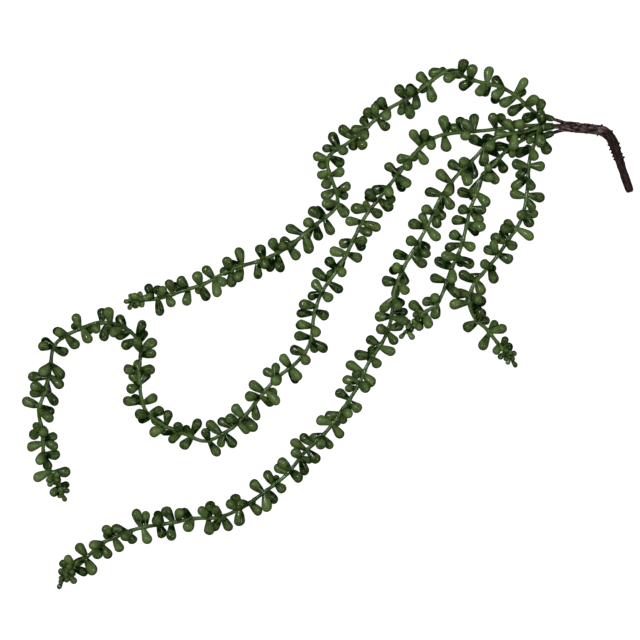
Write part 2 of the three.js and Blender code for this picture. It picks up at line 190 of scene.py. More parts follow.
# Nubs: height, radius, lean to the free end, and share of the radius at each share of the height
NUB_HEIGHT = 1.35
NUB_RADIUS = 1.15
NUB_LEAN = 0.3
NUB_SIDES = 10
NUB_SHARES = [(0, 1.1), (0.4, 1), (0.6, 0.72), (0.8, 0.5), (0.93, 0.33), (1, 0.12)]
# Fusing of the stem's pieces, and what its softening takes off
STEM_VOXEL = 0.28
SOFTENING_LOSS = 0.12
# Relief of the bark: height of the ridges, knobs and grain, their widths, and how long the ridges are
BARK_RIDGES = 0.45
RIDGE_WIDTH = 1.3
RIDGE_STRETCH = 3.5
BARK_KNOBS = 0.35
KNOB_WIDTH = 1.9
BARK_GRAIN = 0.2
GRAIN_WIDTH = 0.7
BRANCH_KNOBS = 0.3
SMOOTH_RELIEF = 0.12
# Dusting, which also stands in for painted highlight, lies on the ridges, and less on knobs, on grain and on
# the branches
BRANCH_DUST_AND_HIGHLIGHT = -0.15
KNOB_DUST_AND_HIGHLIGHT = 0.25
GRAIN_DUST_AND_HIGHLIGHT = 0.25
# The bore's wall is left smooth: what lies this near to the middle line, past the fork
BORE_REACH = 1.6
BORE_START = 6
# The trunk, as against its branches, is what lies this far out, fading in over the next stretch
TRUNK_REACH = 2.2
TRUNK_FADE = 0.8
FORK_FADE = 3
SURFACE_GAP = 0.02

ROUTES = {
    "vine_top": [
        (553, 119.3, 8.6), (545, 117, 9), (535, 113, 8.5), (525, 104, 8), (515, 95, 7.6), (500, 87, 7.4),
        (480, 82, 7.4), (465, 77, 7.8), (455, 70.5, 8), (445, 72, 7.8), (430, 82, 7.4), (410, 97, 7.2),
        (390, 108, 7.4), (375, 120, 7.8), (360, 134, 7.6), (345, 145, 7.4), (331, 154, 7.8), (327.5, 165, 8),
        (332, 180, 7.6), (337.5, 197, 7.4), (334, 210, 7.6), (318, 223, 7.6), (300, 238, 7.2),
        (283, 250, 7.4), (262, 260, 7.6), (232, 269, 7.2), (206, 283, 7.4), (182, 291, 7), (160, 298, 5.6),
        (132, 301, 3.2),
    ],
    "vine_loop": [
        (553, 125.6, 8), (535, 125.5, 8), (515, 127, 8), (500, 128.5, 8), (485, 130.5, 7.8), (455, 133, 7.6),
        (436, 137, 7.4), (420, 148, 7.6), (403, 168, 7.8), (385, 191, 7.4), (365, 217, 7.2), (353, 241, 7.6),
        (340, 266, 7.8), (322, 292, 7.6), (314, 316, 7.4), (310, 343, 7.4), (297, 362, 7.8), (277, 378, 7.6),
        (260, 397, 7.2), (244, 417, 7.4), (226, 432, 7.8), (205, 441, 7.6), (185, 434, 7.4), (165, 426, 7.4),
        (148, 414, 7.8), (141, 396, 7.6), (139, 370, 7.2), (141, 348, 7.6), (135, 336, 7.8),
        (120, 325.5, 7.6), (98, 323, 7.4), (80, 329, 7.6), (62, 338, 7.8), (53, 349, 7.6), (50, 370, 7.4),
        (45, 391, 7.4), (39, 411, 7.8), (42.5, 433, 7.4), (44, 458, 6.8), (51, 474, 5.6), (61, 494, 3.2),
    ],
    "vine_sweep": [
        (553, 127.4, 13.2), (540, 128, 14.5), (520, 133.5, 16), (502, 136, 15), (489, 143, 12),
        (473, 159.5, 8.6), (454, 179, 7.6), (440, 199, 7.4), (430.5, 220, 7.8), (417, 245, 7.6),
        (404, 267, 7.4), (395, 290, 7.8), (391, 320, 7.6), (383, 341, 7.4), (368, 364, 7.6), (358, 386, 7.8),
        (343, 409, 7.4), (326, 432, 7.6), (305, 452, 7.4), (287, 474, 7.6), (266, 491, 7.8), (243, 507, 7.4),
        (220, 517, 7.6), (195, 518.5, 7.8), (170, 523, 7.4), (140, 528, 7.6), (118, 536, 7.4),
        (101, 544, 7.2), (88, 556, 6.4), (74, 565, 5), (62, 582, 3.2),
    ],
    "vine_inner": [
        (553, 126.6, 3.2), (540, 130, 4), (528, 137, 5.6), (516, 144, 7), (505, 152, 7.6), (494, 164, 7.8),
        (483, 175, 7.6), (477, 192, 7.4), (470, 210, 7.6), (466, 228, 7.8), (460, 250, 7.4), (451, 270, 7.6),
        (444, 290, 7.4), (436, 305, 6.6), (424.5, 313, 5.4), (406, 332, 3.2),
    ],
    "vine_outer": [
        (553, 132.9, 8), (541, 138, 8.4), (534, 145, 8.4), (530, 157, 8), (528.5, 171, 7.6),
        (527.5, 187, 7.4), (525.5, 203.5, 7.6), (520.5, 221, 7.8), (509, 239, 7.4), (497, 256.5, 7.6),
        (484, 272, 7.8),
        (473.5, 285, 7.6), (469.5, 299, 7.4), (470.5, 309, 7.6), (476, 319.5, 7.4), (487, 329.5, 6.8),
        (497, 342, 5.2), (512, 360, 3.2),
    ],
}

# The order in which the vines take their space, and the seed of each one's random draws
VINE_SEEDS = {"vine_sweep": 104, "vine_top": 105, "vine_outer": 28, "vine_loop": 128, "vine_inner": 80}
SINGLE_SEEDS = {"vine_sweep": 110, "vine_top": 120, "vine_outer": 43, "vine_loop": 134, "vine_inner": 32}

# Main stem, from the fork to its free end, with its radius as the fourth number
MAIN_STEM = [
    (562, 126.3, 7.6, 1.8), (566, 126.5, 7.6, 3.8), (572, 127, 7.6, 4.1), (582, 128.1, 7.4, 3.9),
    (592, 129.1, 7, 3.7), (601.3, 130.4, 6.6, 4), (606.5, 133.2, 6.2, 3.9), (611.2, 137.8, 5.8, 3.9),
    (614.4, 144.6, 5.4, 3.7), (617.4, 152.9, 4.9, 3.5), (620.4, 160.8, 4.4, 3.3), (623.2, 168.9, 3.9, 3.1),
    (624.6, 172.9, 3.6, 3.1), (625.2, 174.8, 3.5, 3.4), (627.8, 182.2, 3.4, 3.3), (630.3, 189.2, 3.3, 3.2),
    (631.2, 192.2, 3.2, 2.2),
]

# Where each branch leaves the main stem, on the way to its vine
BRANCH_ROOTS = {
    "vine_top": [(573, 125.6, 8), (564, 122.6, 8.4)],
    "vine_loop": [(573, 126.2, 7.8), (563, 125.4, 7.8)],
    "vine_sweep": [(573, 127.4, 8.6), (563, 127.4, 10.6)],
    "vine_inner": [(573, 127.4, 6.2), (563, 126.8, 4.4)],
    "vine_outer": [(573, 128.6, 7.4), (564, 129.7, 7.6)],
}

# Thorn like nubs on the bark: distance from the fork, and angle round the stem in degrees
NUBS = [
    (14, 70), (18, 128), (23, 44), (27, 96), (29, 182), (31, 4), (34, 62), (38.5, 6), (43, 112),
    (46, 176), (48, 2), (50, 184), (51.5, 10), (53, 176), (56, 182), (56.5, 356), (58.5, 178),
    (59.5, 6), (63, 80), (24, 250), (41, 285),
]


def lerp(first, second, share):
    return (1 - share) * first + share * second


def clamp(value, low, high):
    return min(max(value, low), high)


def place(mark):
    x, y, height = mark[:3]
    return np.array([(x - ORIGIN_PX[0]) * MM_PER_PX, (ORIGIN_PX[1] - y) * MM_PER_PX, height])


def unit(vector):
    return vector / np.linalg.norm(vector)


def seeded_random(seed):
    """The same seed gives the same numbers each time, from 0 up to 1."""
    modulus = 4294967296
    state = seed
    while True:
        state = (state * 1664525 + 1013904223) % modulus
        yield state / modulus


def spread(draws, amount):
    """A draw between minus and plus an amount."""
    return (2 * next(draws) - 1) * amount


def drawn_side(draws):
    return -1 if next(draws) < 0.5 else 1


class Route:
    """A smooth route through given points, walked by distance."""

    PIECES_PER_POINT = 12

    def __init__(self, marks):
        marks = [np.asarray(mark, dtype=float) for mark in marks]
        knots = [2 * marks[0] - marks[1], *marks, 2 * marks[-1] - marks[-2]]
        points = []
        for before, start, end, after in zip(knots, knots[1:], knots[2:], knots[3:]):
            leave = (end - before) / 2
            arrive = (after - start) / 2
            for t in np.arange(self.PIECES_PER_POINT) / self.PIECES_PER_POINT:
                square = 3 * (end - start) - 2 * leave - arrive
                cube = 2 * (start - end) + leave + arrive
                points.append(start + leave * t + square * t ** 2 + cube * t ** 3)
        self.points = np.array([*points, marks[-1]])
        steps = np.linalg.norm(np.diff(self.points, axis=0), axis=1)
        self.distances = np.concatenate([[0], np.cumsum(steps)])
        self.length = self.distances[-1]

    def at(self, distance):
        wanted = clamp(distance, 0, self.length)
        i = max(1, int(np.searchsorted(self.distances, wanted)))
        share = (wanted - self.distances[i - 1]) / (self.distances[i] - self.distances[i - 1])
        return self.points[i - 1] + (self.points[i] - self.points[i - 1]) * share

    def direction_at(self, distance):
        reach = 1
        middle = clamp(distance, reach, self.length - reach)
        return unit(self.at(middle + reach) - self.at(middle - reach))

    def beyond(self, distance):
        """As at(), but it goes straight on past the ends."""
        over = distance - clamp(distance, 0, self.length)
        return self.at(distance) + self.direction_at(distance) * over

    def distance_of_mark(self, number):
        return self.distances[number * self.PIECES_PER_POINT]


# Leaf places: the pairs have the same rule and the same draws as in the solids


def ring_growth(sides):
    return math.sqrt((2 * math.pi) / (sides * math.sin((2 * math.pi) / sides)))


FACET_DEPTH = ring_growth(SOLID_SIDES) * math.cos(math.pi / SOLID_SIDES)


def resting_slope(height, length, radius):
    """The steepest slope at which a leaf rests on the surface, pressed a little flat."""
    degrees = STEEPEST_SLOPE
    while True:
        slope = math.radians(degrees)
        drop = FACET_DEPTH * radius * math.cos(slope)
        lowest = min(height + along * length * math.sin(slope) - ring * drop for along, ring in SOLID_RINGS)
        if lowest >= -PRESSED:
            return degrees
        degrees += SLOPE_STEP


def leaf_balls(leaf):
    return [(*(leaf["root"] + leaf["direction"] * along * leaf["length"]), share * leaf["radius"])
            for along, share in LEAF_BALLS]


def route_balls(route, end, radius):
    """Balls along a route, the last of them at the end if the spacing falls on it."""
    rounding = 1e-9
    return [(*route.at(distance), radius) for distance in np.arange(0, end + rounding, BALL_SPACING)]


def touches(balls, others, gap):
    if not len(others):
        return False
    for x, y, z, radius in balls:
        reach = others[:, 3] + radius + gap
        apart = (others[:, 0] - x) ** 2 + (others[:, 1] - y) ** 2 + (others[:, 2] - z) ** 2
        if np.any(apart < reach * reach):
            return True
    return False


def wished_leaf(draws, distance, side, stand, size, stretch=1, crowdings=(LOOSE, DENSE)):
    """A leaf as it would grow with all the room that it wants."""
    return {
        "distance": distance,
        "side": side,
        "lean": stand["lean"][0] + spread(draws, stand["lean"][1]),
        "slope": stand["slope"][0] + spread(draws, stand["slope"][1]),
        "length": LEAF_LENGTH * size * stretch * (1 + spread(draws, LENGTH_RANGE)),
        "radius": LEAF_RADIUS * size * (1 + spread(draws, RADIUS_RANGE)),
        "crowdings": crowdings,
    }


def tip_share(route, distance):
    """From 0 at the tip of a vine to 1 where its leaves are full grown."""
    return min((route.length - distance) / TIP_STRETCH, 1)


def wished_pairs(route, seed):
    """Leaves grow in pairs, one pair to the sides and the next above and below, smaller at the tip."""
    draws = seeded_random(seed)
    wishes = []
    distance = FIRST_PAIR
    sideways = True
    while distance < route.length:
        grown = tip_share(route, distance)
        size = lerp(TIP_LEAF_SIZE, 1, grown)
        flip = drawn_side(draws)
        middle = distance + spread(draws, PAIR_JITTER) * size
        for side in (-1, 1):
            stand = STANDS["side" if sideways else "lower" if side < 0 else "upper"]
            spot = middle + spread(draws, PAIR_OFFSET)
            wishes.append(wished_leaf(draws, spot, side if sideways else flip * side, stand, size))
        distance += lerp(TIP_SPACING, PAIR_SPACING, grown)
        sideways = not sideways
    wishes.append({
        "distance": route.length,
        "side": 1,
        "lean": 90,
        "slope": 0,
        "length": LEAF_LENGTH * TIP_LEAF_SIZE,
        "radius": LEAF_RADIUS * TIP_LEAF_SIZE,
        "crowdings": (LOOSE, DENSE),
    })
    return wishes


def wished_singles(route, seed):
    """Single leaves that bunch with the pairs, most of them hanging low beside the string."""
    draws = seeded_random(seed)
    wishes = []
    distance = FIRST_PAIR
    while distance < route.length:
        size = SINGLE_SIZE * lerp(TIP_LEAF_SIZE, 1, tip_share(route, distance))
        stand = STANDS["lower" if next(draws) < LOWER_SINGLES else "side"]
        spot = distance + spread(draws, SINGLE_JITTER)
        wishes.append(wished_leaf(draws, spot, drawn_side(draws), stand, size))
        distance += PAIR_SPACING
    return wishes


def wished_buds(route, seed):
    """Small plump leaves that crowd round the tip, smallest at its end."""
    draws = seeded_random(seed)
    crowdings = (BUD_CROWDING,)
    wishes = []
    for distance in np.arange(route.length - BUD_STRETCH, route.length, BUD_SPACING):
        size = BUD_SIZE * lerp(*BUD_GROWTH, (route.length - distance) / BUD_STRETCH)
        side = drawn_side(draws)
        wishes.append(wished_leaf(draws, distance, side, STANDS["bud"], size, BUD_LENGTH, crowdings))
    return wishes


def places_near(wish):
    """The places that a leaf may take, in order: as wished, then turned, lifted, more crowded, smaller."""
    lift_way = -1 if wish["slope"] > STANDING_SLOPE else 1
    for size in SIZES_TRIED:
        for crowding in wish["crowdings"]:
            for lift in LIFTS_TRIED:
                for turn in TURNS_TRIED:
                    yield crowding, size, wish["slope"] + lift_way * lift, wish["lean"] - turn


def settled_leaf(wish, route, others, own):
    """A leaf takes the first place clear of the other vines and not too deep in its own neighbours."""
    root = route.at(wish["distance"])
    forward = route.direction_at(wish["distance"])
    heading = math.atan2(forward[1], forward[0])
    near = others[np.sum((others[:, :3] - root) ** 2, axis=1) < NEAR_REACH ** 2]
    for crowding, size, slope, lean in places_near(wish):
        length = wish["length"] * size
        radius = wish["radius"] * size
        slope = math.radians(max(slope, resting_slope(root[2], length, radius)))
        azimuth = heading + wish["side"] * math.radians(90 - lean)
        level = math.cos(slope)
        direction = np.array([math.cos(azimuth) * level, math.sin(azimuth) * level, math.sin(slope)])
        leaf = {
            "root": root,
            "direction": direction,
            "length": length,
            "radius": radius,
            "distance": wish["distance"],
        }
        balls = leaf_balls(leaf)
        belly = (*balls[0][:3], radius * crowding)
        if not touches(balls, near, CLEARANCE) and not touches([belly], np.array(own).reshape(-1, 4), 0):
            own.append(belly)
            return leaf
    return None


vine_routes = {name: Route([place(mark) for mark in marks]) for name, marks in ROUTES.items()}
stem_route = Route([place(mark) for mark in MAIN_STEM])
branch_routes = {
    name: Route([
        *[place(mark) for mark in marks],
        place(ROUTES[name][0]),
        vine_routes[name].at(SOCKET_DEPTH),
    ])
    for name, marks in BRANCH_ROOTS.items()
}


def balls_beside(name, placed):
    """Balls that hold the stem, the branches, and the other vines with their leaves."""
    others = route_balls(stem_route, stem_route.length, STEM_CLEAR_RADIUS)
    for other in VINE_SEEDS:
        branch = branch_routes[other]
        others += route_balls(branch, branch.length - SOCKET_DEPTH, BRANCH_RADIUS)
        if other != name:
            vine = vine_routes[other]
            others += route_balls(vine, vine.length, VINE_RADIUS)
            others += route_balls(vine, SOCKET_LENGTH, SOCKET_BULGES[other])
            others += [ball for leaf in placed[other] for ball in leaf_balls(leaf)]
    if name != OPEN_VINE:
        for height in OPEN_HEIGHTS:
            balls = route_balls(vine_routes[OPEN_VINE], OPEN_LENGTH, OPEN_RADIUS)
            others += [(x, y, z + height, radius) for x, y, z, radius in balls]
    return np.array(others)


def settled_leaves():
    """Each vine in turn takes the space that is left: first its pairs, then its singles and its buds."""
    placed = {name: [] for name in VINE_SEEDS}
    bellies = {name: [] for name in VINE_SEEDS}
    rounds = ((wished_pairs, VINE_SEEDS), (wished_singles, SINGLE_SEEDS), (wished_buds, VINE_SEEDS))
    for wished, seeds in rounds:
        for name, seed in seeds.items():
            route = vine_routes[name]
            others = balls_beside(name, placed)
            leaves = [settled_leaf(wish, route, others, bellies[name]) for wish in wished(route, seed)]
            placed[name] += [leaf for leaf in leaves if leaf]
    return placed


# Mesh helpers


def new_mesh(name, points, faces, edges=()):
    mesh = bpy.data.meshes.new(name)
    mesh.from_pydata([tuple(np.asarray(point) * MM) for point in points], list(edges), faces)
    mesh.update()
    return mesh


def new_object(name, mesh):
    made = bpy.data.objects.new(name, mesh)
    bpy.context.scene.collection.objects.link(made)
    return made


def store(mesh, name, kind, values, domain="POINT"):
    """Writes one value for each point, or corner, as a named attribute."""
    field = {"FLOAT": "value", "INT": "value", "FLOAT_VECTOR": "vector", "FLOAT2": "vector"}[kind]
    attribute = mesh.attributes.new(name, kind, domain)
    attribute.data.foreach_set(field, np.asarray(values).ravel())


def around(middle, forward, angle, radius):
    """The point at an angle round a line, from its left side over its top."""
    left = unit(np.cross((0, 0, 1), forward))
    top = np.cross(forward, left)
    return middle + left * math.cos(angle) * radius + top * math.sin(angle) * radius


def turned_along(route, profile, sides):
    """A closed skin round a route. The profile gives distance and radius, and is 0 wide at both ends."""
    points = [route.beyond(profile[0][0])]
    for distance, radius in profile[1:-1]:
        middle = route.beyond(distance)
        forward = route.direction_at(distance)
        for side in range(sides):
            points.append(around(middle, forward, 2 * math.pi * side / sides, radius))
    points.append(route.beyond(profile[-1][0]))
    return points, closed_rings(len(profile) - 2, sides)


def closed_rings(rings, sides):
    """Faces between the rings of a skin whose first and last points are its poles, facing outwards."""
    last = 1 + rings * sides
    faces = []
    for side in range(sides):
        after = (side + 1) % sides
        faces.append((0, 1 + after, 1 + side))
        faces.append((last, last - sides + side, last - sides + after))
        for ring in range(rings - 1):
            low = 1 + ring * sides
            faces.append((low + side, low + after, low + sides + after, low + sides + side))
    return faces


def joined_skins(skins):
    """One list of points and one of faces, from several skins."""
    points = []
    faces = []
    for skin_points, skin_faces in skins:
        start = len(points)
        points += skin_points
        faces += [tuple(start + i for i in face) for face in skin_faces]
    return points, faces


def made_real(holder, name):
    """The plain mesh that an object's modifiers give, as a new object. The old one goes."""
    graph = bpy.context.evaluated_depsgraph_get()
    mesh = bpy.data.meshes.new_from_object(holder.evaluated_get(graph))
    mesh.name = name
    holder.modifiers.clear()
    bpy.data.objects.remove(holder)
    return new_object(name, mesh)


# Node helpers


def add_node(tree, kind, settings=None, **inputs):
    """Adds a node. Settings are its own values, and inputs are numbers or other nodes' outputs by name."""
    node = tree.nodes.new(kind)
    for key, value in (settings or {}).items():
        setattr(node, key, value)
    for key, value in inputs.items():
        plug(tree, node, key.replace("_", " "), value)
    return node


def plug(tree, node, name, value):
    matches = [s for s in node.inputs if s.enabled and s.name.lower() == name.lower()]
    socket = matches[0] if matches else node.inputs[int(name)]
    if isinstance(value, bpy.types.NodeSocket):
        tree.links.new(value, socket)
    else:
        socket.default_value = value


def output(node, name=None):
    enabled = [s for s in node.outputs if s.enabled]
    return enabled[0] if name is None else next(s for s in enabled if s.name == name)


# Leaves and strings of a vine, put together by geometry nodes


def leaf_outline(fullness):
    """Half of a leaf's outline: from the neck along a full side to the round end, then an arc."""
    centre = LEAF_LENGTH - LEAF_RADIUS
    reach = math.hypot(centre, NECK_RADIUS)
    angle = math.asin(LEAF_RADIUS / reach) - math.atan2(NECK_RADIUS, centre)
    straight = math.sqrt(reach ** 2 - LEAF_RADIUS ** 2)
    outline = [(-LEAF_ROOT, 0), (-LEAF_ROOT, NECK_RADIUS)]
    for share in SIDE_SHARES:
        along = share * straight
        swell = fullness * math.sin(math.pi * share)
        outline.append((along * math.cos(angle), NECK_RADIUS + along * math.sin(angle) + swell))
    first = angle + math.pi / 2
    for step in range(ARC_STEPS):
        turn = first * (1 - step / ARC_STEPS)
        outline.append((centre + LEAF_RADIUS * math.cos(turn), LEAF_RADIUS * math.sin(turn)))
    return [*outline, (LEAF_LENGTH, 0)]


def leaf_shapes():
    """A few leaves that differ in their bow, each pointing along X, in a collection of their own."""
    collection = bpy.data.collections.new("leaf shapes")
    for number, (fullness, side_bow, top_bow) in enumerate(LEAF_SHAPES):
        outline = leaf_outline(fullness)
        rings = len(outline) - 2
        points = []
        for i, (along, radius) in enumerate(outline):
            bent = (max(along, 0) / LEAF_LENGTH) ** 2
            middle = np.array([along, side_bow * bent, top_bow * bent])
            if i in (0, len(outline) - 1):
                points.append(middle)
                continue
            for side in range(LEAF_SIDES):
                angle = 2 * math.pi * side / LEAF_SIDES
                wide = radius * LEAF_PLUMPNESS
                flat = radius * LEAF_FLATNESS
                points.append(middle + (0, math.cos(angle) * wide, math.sin(angle) * flat))
        mesh = new_mesh(f"leaf_shape_{number}", points, closed_rings(rings, LEAF_SIDES))
        along = np.array([clamp(p[0] / LEAF_LENGTH, 0, 1) for p in points])
        store(mesh, "leafiness", "FLOAT", along)
        corners = []
        for face in mesh.polygons:
            sides = [(vertex - 1) % LEAF_SIDES for vertex in face.vertices]
            wraps = max(sides) - min(sides) > LEAF_SIDES / 2
            for vertex, side in zip(face.vertices, sides):
                turn = LEAF_SIDES if wraps and side == 0 else side
                if vertex in (0, len(points) - 1):
                    turn = sum(sides) / len(sides)
                corners.append((turn / LEAF_SIDES, along[vertex]))
        store(mesh, "leaf_uv", "FLOAT2", corners, "CORNER")
        collection.objects.link(bpy.data.objects.new(f"leaf_shape_{number}", mesh))
    return collection


def leaf_turn(direction, roll):
    """The turn that points a leaf along its direction, with its flat side up before the roll."""
    forward = Vector(direction)
    side = Vector((0, 0, 1)).cross(forward).normalized()
    basis = Matrix((forward, side, forward.cross(side))).transposed()
    return (basis @ Matrix.Rotation(roll, 3, "X")).to_euler()


def painted_shade_of_higher_leaves(leaf, bellies):
    """Painted shade: a leaf is deeper green for each higher leaf near it, and deepest under one, as if in
    their shade. A young leaf isn't.
    """
    if leaf["radius"] < YOUNG_RADIUS:
        return 1
    belly = leaf_balls(leaf)[0]
    higher = bellies[bellies[:, 2] > belly[2] + HIGHER_BY]
    apart = np.hypot(higher[:, 0] - belly[0], higher[:, 1] - belly[1])
    if np.any(apart < higher[:, 3]):
        return PAINTED_SHADE_UNDER
    return max(PAINTED_SHADE_UNDER, PAINTED_SHADE_EACH_NEAR ** np.count_nonzero(apart < PAINTED_SHADE_REACH))


def leaf_points(name, leaves, bellies):
    """A point for each leaf, with its turn, size, kind of shape, and its tinting darkened by painted shade
    from higher leaves.
    """
    draws = seeded_random(VINE_SEEDS[name])
    points = new_mesh(f"{name}_leaf_points", [leaf["root"] for leaf in leaves], [])
    turns, sizes, kinds, tints_and_shades = [], [], [], []
    for leaf in leaves:
        roll = math.radians(spread(draws, ROLL_RANGE))
        turns.append(tuple(leaf_turn(leaf["direction"], roll)))
        wide = leaf["radius"] / LEAF_RADIUS
        sizes.append((leaf["length"] / LEAF_LENGTH, wide, wide))
        kinds.append(int(next(draws) * len(LEAF_SHAPES)))
        # Each leaf is tinted at random, then darkened by painted shade from the higher leaves near it
        tints_and_shades.append(lerp(*TINT_RANGE, next(draws)) * painted_shade_of_higher_leaves(leaf, bellies))
    store(points, "turn", "FLOAT_VECTOR", turns)
    store(points, "size", "FLOAT_VECTOR", sizes)
    store(points, "kind", "INT", kinds)
    store(points, "tint", "FLOAT", tints_and_shades)
    return bpy.data.objects.new(f"{name}_leaf_points", points)


def string_path(name, leaves):
    """The line of a vine's string, with a thickness at each point that swells where leaves grow."""
    route = vine_routes[name]
    start = SOCKET_DEPTH + VINE_RADIUS
    count = int((route.length - start) / STRING_STEP)
    distances = np.linspace(start, route.length, count + 1)
    knuckles = np.array([leaf["distance"] for leaf in leaves])
    grown = np.minimum((route.length - distances) / TIP_STRETCH, 1)
    thickness = VINE_RADIUS * lerp(TIP_THINNING, 1, grown)
    nearest = np.abs(distances[:, None] - knuckles[None, :]).min(axis=1)
    thickness += KNUCKLE_HEIGHT * np.exp(-(nearest / KNUCKLE_LENGTH) ** 2) * thickness / VINE_RADIUS
    points = [route.at(distance) for distance in distances]
    mesh = new_mesh(f"{name}_path", points, [], [(i, i + 1) for i in range(count)])
    store(mesh, "thickness", "FLOAT", thickness * MM)
    return mesh


def socket_radius(name, distance):
    """It swells from the mouth, and then thins smoothly down to the string."""
    swell = math.sin(math.pi / 2 * min(distance / SOCKET_SWELL, 1))
    swollen = lerp(SOCKET_RADIUS, SOCKET_BULGES[name], swell)
    end = SOCKET_LENGTH + SOCKET_TAPER
    share = clamp((distance - SOCKET_SWELL) / (end - SOCKET_SWELL), 0, 1)
    return lerp(swollen, VINE_RADIUS * SOCKET_THINNING, share * share * (3 - 2 * share))


def socket_mesh(name):
    """The sleeve that holds the branch: a rounded mouth, a swelling, a raised seam and a long shoulder."""
    bore = BRANCH_RADIUS + FIT_GAP
    lip = (SOCKET_RADIUS - bore) / 2
    profile = [(SOCKET_DEPTH, 0), (SOCKET_DEPTH, bore), (lip, bore)]
    for step in range(1, LIP_STEPS):
        turn = math.pi * step / LIP_STEPS
        profile.append((lip - lip * math.sin(turn), bore + lip - lip * math.cos(turn)))
    seam = SOCKET_LENGTH + SEAM_PAST
    foot = SEAM_HALF + SEAM_SLOPE
    end = SOCKET_LENGTH + SOCKET_TAPER
    for distance in np.linspace(lip, seam - foot, 12):
        profile.append((distance, socket_radius(name, distance)))
    seam_start = 1 + len(profile) * SOCKET_SIDES - SOCKET_SIDES
    for distance in (seam - SEAM_HALF, seam + SEAM_HALF):
        profile.append((distance, socket_radius(name, distance) + SEAM_HEIGHT))
    for distance in np.linspace(seam + foot, end, 7):
        profile.append((distance, socket_radius(name, distance)))
    profile.append((end, 0))
    points, faces = turned_along(vine_routes[name], profile, SOCKET_SIDES)
    mesh = new_mesh(f"{name}_socket", points, faces)
    seam_points = np.zeros(len(points))
    seam_points[seam_start:seam_start + 2 * SOCKET_SIDES] = 1
    store(mesh, "seam", "FLOAT", seam_points)
    store(mesh, "sleeve", "FLOAT", np.ones(len(points)))
    return mesh


def leafy_vine_tree(shapes, material):
    """Geometry nodes that give a path its string, and stand a leaf on each of its leaf points."""
    tree = bpy.data.node_groups.new("leafy vine", "GeometryNodeTree")
    face = tree.interface
    face.new_socket("Geometry", in_out="INPUT", socket_type="NodeSocketGeometry")
    face.new_socket("Leaf points", in_out="INPUT", socket_type="NodeSocketObject")
    face.new_socket("Socket", in_out="INPUT", socket_type="NodeSocketObject")
    string_sides = face.new_socket("String sides", in_out="INPUT", socket_type="NodeSocketInt")
    string_sides.default_value = STRING_SIDES
    surface_height = face.new_socket("Surface height", in_out="INPUT", socket_type="NodeSocketFloat")
    surface_height.default_value = 0
    face.new_socket("Geometry", in_out="OUTPUT", socket_type="NodeSocketGeometry")
    given = tree.nodes.new("NodeGroupInput")

    def attribute(name, kind):
        node = add_node(tree, "GeometryNodeInputNamedAttribute", {"data_type": kind}, Name=name)
        return output(node)

    line = add_node(tree, "GeometryNodeMeshToCurve", Mesh=given.outputs["Geometry"])
    ring = add_node(
        tree, "GeometryNodeCurvePrimitiveCircle", Resolution=given.outputs["String sides"], Radius=1.0,
    )
    string = add_node(
        tree, "GeometryNodeCurveToMesh", Curve=output(line), Profile_Curve=output(ring),
        Scale=attribute("thickness", "FLOAT"), Fill_Caps=True,
    )

    spots = add_node(tree, "GeometryNodeObjectInfo", Object=given.outputs["Leaf points"])
    shape = add_node(
        tree, "GeometryNodeCollectionInfo", Collection=shapes, Separate_Children=True, Reset_Children=True,
    )
    turn = add_node(tree, "FunctionNodeEulerToRotation", Euler=attribute("turn", "FLOAT_VECTOR"))
    leaves = add_node(
        tree, "GeometryNodeInstanceOnPoints",
        Points=output(spots, "Geometry"), Instance=output(shape), Pick_Instance=True,
        Instance_Index=attribute("kind", "INT"), Rotation=output(turn),
        Scale=attribute("size", "FLOAT_VECTOR"),
    )
    sleeve = add_node(tree, "GeometryNodeObjectInfo", Object=given.outputs["Socket"])

    joined = tree.nodes.new("GeometryNodeJoinGeometry")
    for part in (output(string), output(sleeve, "Geometry"), output(leaves)):
        tree.links.new(part, joined.inputs[0])
    whole = add_node(tree, "GeometryNodeRealizeInstances", Geometry=output(joined))

    # What would reach below the surface is pressed flat on it
    position = output(tree.nodes.new("GeometryNodeInputPosition"))
    spot = add_node(tree, "ShaderNodeSeparateXYZ", Vector=position)
    height = add_node(tree, "ShaderNodeMath", {"operation": "MAXIMUM"})
    tree.links.new(spot.outputs["Z"], height.inputs[0])
    tree.links.new(given.outputs["Surface height"], height.inputs[1])
    raised = add_node(
        tree, "ShaderNodeCombineXYZ", X=spot.outputs["X"], Y=spot.outputs["Y"], Z=output(height),
    )
    rested = add_node(tree, "GeometryNodeSetPosition", Geometry=output(whole), Position=output(raised))
    smooth = add_node(tree, "GeometryNodeSetShadeSmooth", Geometry=output(rested))
    dressed = add_node(tree, "GeometryNodeSetMaterial", Geometry=output(smooth), Material=material)
    result = tree.nodes.new("NodeGroupOutput")
    tree.links.new(output(dressed), result.inputs["Geometry"])
    return tree


def set_tree_input(modifier, name, value):
    """A modifier's input is set by its socket's identifier."""
    for item in modifier.node_group.interface.items_tree:
        if item.item_type == "SOCKET" and item.in_out == "INPUT" and item.name == name:
            modifier[item.identifier] = value


def add_vines(material):
    shapes = leaf_shapes()
    tree = leafy_vine_tree(shapes, material)
    placed = settled_leaves()
    bellies = np.array([leaf_balls(leaf)[0] for leaves in placed.values() for leaf in leaves])
    for name, leaves in placed.items():
        holder = new_object(f"{name}_holder", string_path(name, leaves))
        modifier = holder.modifiers.new("leafy vine", "NODES")
        modifier.node_group = tree
        points = leaf_points(name, leaves, bellies)
        socket = bpy.data.objects.new(f"{name}_socket", socket_mesh(name))
        set_tree_input(modifier, "Leaf points", points)
        set_tree_input(modifier, "Socket", socket)
        vine = made_real(holder, f"{name}_fine")
        for spare in (points, socket):
            bpy.data.objects.remove(spare)
        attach(vine, "root")
        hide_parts(name)
    for spare in list(shapes.objects):
        bpy.data.objects.remove(spare)
    bpy.data.collections.remove(shapes)


# Main stem


